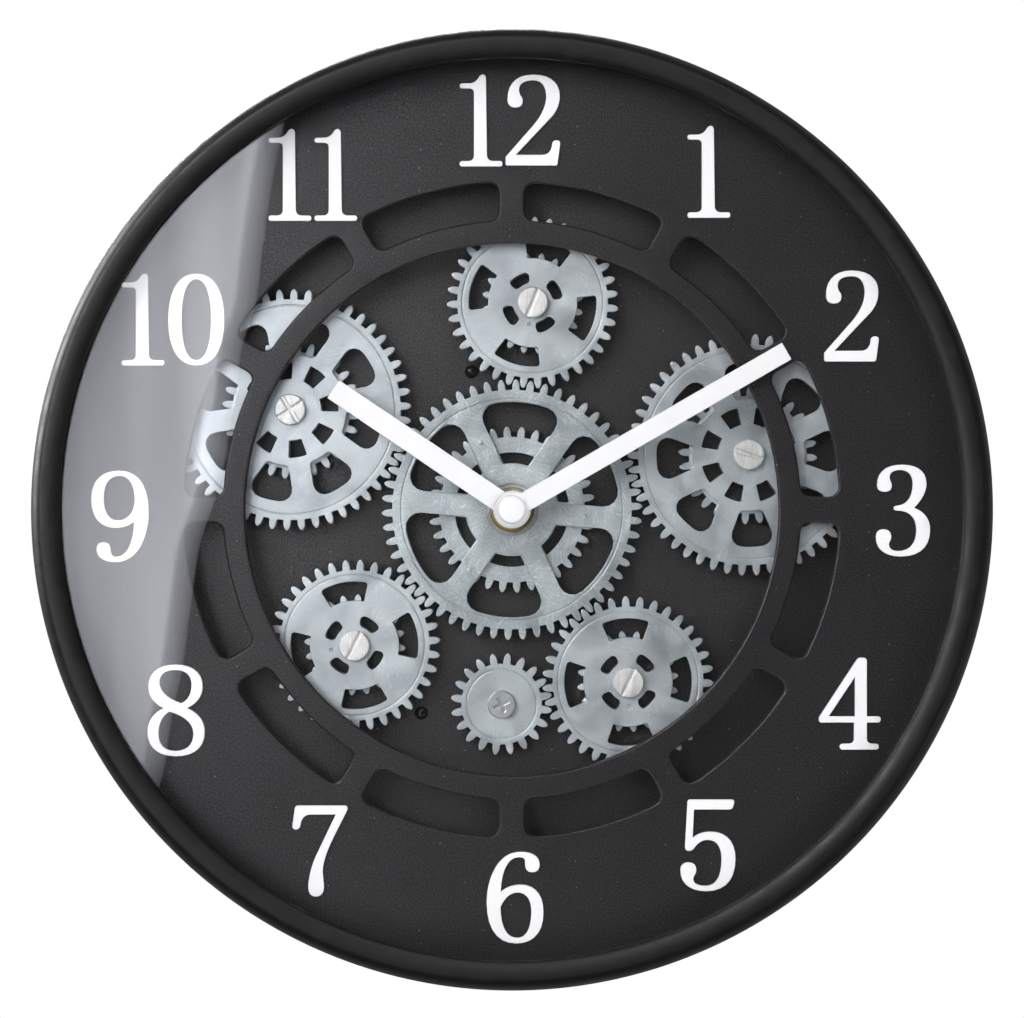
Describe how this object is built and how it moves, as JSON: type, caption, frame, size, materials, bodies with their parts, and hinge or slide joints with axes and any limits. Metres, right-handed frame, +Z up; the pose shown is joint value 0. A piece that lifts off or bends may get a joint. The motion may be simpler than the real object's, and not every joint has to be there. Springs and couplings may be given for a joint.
{
  "type": "wall clock",
  "caption": "Round wall clock with a black case, large white numerals, plain white bar hands and an open dial that shows a train of turning silver gear wheels behind glass.",
  "frame": {"origin": "on the hands' axis, in the plane of the wall that the rear rim rests against", "axes": "+Z up towards the twelve, +X to the viewer's right towards the three, +Y into the wall; the dial faces -Y"},
  "size_m": [0.305, 0.0576, 0.305],
  "materials": {
    "case": "black moulded plastic, satin gloss",
    "dial": "charcoal plastic with a fine leather grain",
    "glass": "clear flat glass",
    "white_print": "white, smooth",
    "silver_gear": "silver-grey plastic with fine swirl scratches",
    "steel": "plain steel",
    "brass": "dull brass",
    "black_screw": "black steel",
    "movement_case": "black moulded plastic",
    "inner_gear": "natural white acetal",
    "board": "green resin board",
    "cell": null
  },
  "bodies": {
    "case": {"case_pan": "case", "front_bezel": "case", "glass_lens": "glass", "spacer_ring": "case", "dial_plate": "dial", "numeral_1": "white_print", "numeral_2": "white_print", "numeral_3": "white_print", "numeral_4": "white_print", "numeral_5": "white_print", "numeral_6": "white_print", "numeral_7": "white_print", "numeral_8": "white_print", "numeral_9": "white_print", "numeral_10": "white_print", "numeral_11": "white_print", "numeral_12": "white_print", "centre_sleeve": "steel", "centre_nut": "brass", "wheel_screws": "steel", "cross_slot_screw": "steel", "plate_screws": "black_screw", "rear_screws": "steel", "movement_front": "movement_case", "movement_cover": "movement_case", "movement_bush": "brass", "step_motor": "brass", "circuit_board": "board", "clock_cell": "cell", "motor_housing": "movement_case", "motor_cover": "movement_case", "drive_motor": "steel", "battery_tray": "movement_case", "motor_cells": "cell", "battery_contacts": "steel", "hanger_plate": "steel"},
    "minute": {"minute_hand": "white_print", "minute_arbor": "steel", "hand_cap": "white_print"},
    "hour": {"hour_hand": "white_print", "hour_pipe": "brass"},
    "motion_wheel": {"motion_wheel": "inner_gear"},
    "third_wheel": {"third_wheel": "inner_gear"},
    "fourth_wheel": {"fourth_wheel": "inner_gear"},
    "setting_knob": {"setting_knob": "movement_case"},
    "centre_wheel": {"centre_wheel": "silver_gear"},
    "top_wheel": {"top_wheel": "silver_gear"},
    "left_wheel": {"left_wheel": "silver_gear"},
    "right_wheel": {"right_wheel": "silver_gear"},
    "lower_left_wheel": {"lower_left_wheel": "silver_gear"},
    "lower_right_wheel": {"lower_right_wheel": "silver_gear"},
    "drive": {"drive_pinion": "silver_gear", "drive_shaft": "steel", "pinion_screw": "steel"},
    "reduction_wheel": {"reduction_wheel": "inner_gear"},
    "motor_pinion": {"motor_pinion": "brass"},
    "power_switch": {"power_switch": "movement_case"}
  },
  "joints": [
    {"name": "minute_turn", "type": "hinge", "parent": "case", "child": "minute", "pos_m": [0, -0.04, 0], "axis": [0, 1, 0], "continuous": true},
    {"name": "hour_turn", "type": "hinge", "parent": "case", "child": "hour", "pos_m": [0, -0.04, 0], "axis": [0, 1, 0], "continuous": true},
    {"name": "motion_wheel_turn", "type": "hinge", "parent": "case", "child": "motion_wheel", "pos_m": [0.004, -0.021, 0.00693], "axis": [0, 1, 0], "continuous": true},
    {"name": "third_wheel_turn", "type": "hinge", "parent": "case", "child": "third_wheel", "pos_m": [-0.00728, -0.015, 0.0042], "axis": [0, 1, 0], "continuous": true},
    {"name": "fourth_wheel_turn", "type": "hinge", "parent": "case", "child": "fourth_wheel", "pos_m": [-0.01082, -0.015, 0.01035], "axis": [0, 1, 0], "continuous": true},
    {"name": "setting_knob_turn", "type": "hinge", "parent": "case", "child": "setting_knob", "pos_m": [0.01128, -0.012, 0.01113], "axis": [0, 1, 0], "continuous": true},
    {"name": "centre_wheel_turn", "type": "hinge", "parent": "case", "child": "centre_wheel", "pos_m": [0, -0.0326, 0], "axis": [0, 1, 0], "continuous": true},
    {"name": "top_wheel_turn", "type": "hinge", "parent": "case", "child": "top_wheel", "pos_m": [0.00664, -0.0326, 0.06642], "axis": [0, 1, 0], "continuous": true},
    {"name": "left_wheel_turn", "type": "hinge", "parent": "case", "child": "left_wheel", "pos_m": [-0.0711, -0.0326, 0.03207], "axis": [0, 1, 0], "continuous": true},
    {"name": "right_wheel_turn", "type": "hinge", "parent": "case", "child": "right_wheel", "pos_m": [0.07599, -0.0326, 0.01761], "axis": [0, 1, 0], "continuous": true},
    {"name": "lower_left_wheel_turn", "type": "hinge", "parent": "case", "child": "lower_left_wheel", "pos_m": [-0.05057, -0.0326, -0.04357], "axis": [0, 1, 0], "continuous": true},
    {"name": "lower_right_wheel_turn", "type": "hinge", "parent": "case", "child": "lower_right_wheel", "pos_m": [0.0373, -0.0326, -0.05536], "axis": [0, 1, 0], "continuous": true},
    {"name": "drive_turn", "type": "hinge", "parent": "case", "child": "drive", "pos_m": [-0.00334, -0.0326, -0.06244], "axis": [0, 1, 0], "continuous": true},
    {"name": "reduction_wheel_turn", "type": "hinge", "parent": "case", "child": "reduction_wheel", "pos_m": [-0.01133, -0.02, -0.05643], "axis": [0, 1, 0], "continuous": true},
    {"name": "motor_pinion_turn", "type": "hinge", "parent": "case", "child": "motor_pinion", "pos_m": [-0.01999, -0.02, -0.06142], "axis": [0, 1, 0], "continuous": true},
    {"name": "power_switch_slide", "type": "slide", "parent": "case", "child": "power_switch", "axis": [1, 0, 0], "range_m": [0, 0.003]}
  ],
  "couplings": [
    {"joint": "hour_turn", "follows": "minute_turn", "ratio": 0.083333},
    {"joint": "motion_wheel_turn", "follows": "minute_turn", "ratio": -0.33333},
    {"joint": "setting_knob_turn", "follows": "minute_turn", "ratio": 0.83333},
    {"joint": "third_wheel_turn", "follows": "minute_turn", "ratio": -8},
    {"joint": "fourth_wheel_turn", "follows": "minute_turn", "ratio": 60},
    {"joint": "top_wheel_turn", "follows": "centre_wheel_turn", "ratio": -1.5429},
    {"joint": "lower_left_wheel_turn", "follows": "centre_wheel_turn", "ratio": -1.5429},
    {"joint": "lower_right_wheel_turn", "follows": "centre_wheel_turn", "ratio": -1.5429},
    {"joint": "left_wheel_turn", "follows": "centre_wheel_turn", "ratio": -1.08},
    {"joint": "right_wheel_turn", "follows": "centre_wheel_turn", "ratio": -1.08},
    {"joint": "drive_turn", "follows": "centre_wheel_turn", "ratio": 2.7},
    {"joint": "reduction_wheel_turn", "follows": "centre_wheel_turn", "ratio": -10.8},
    {"joint": "motor_pinion_turn", "follows": "centre_wheel_turn", "ratio": 43.2}
  ]
}
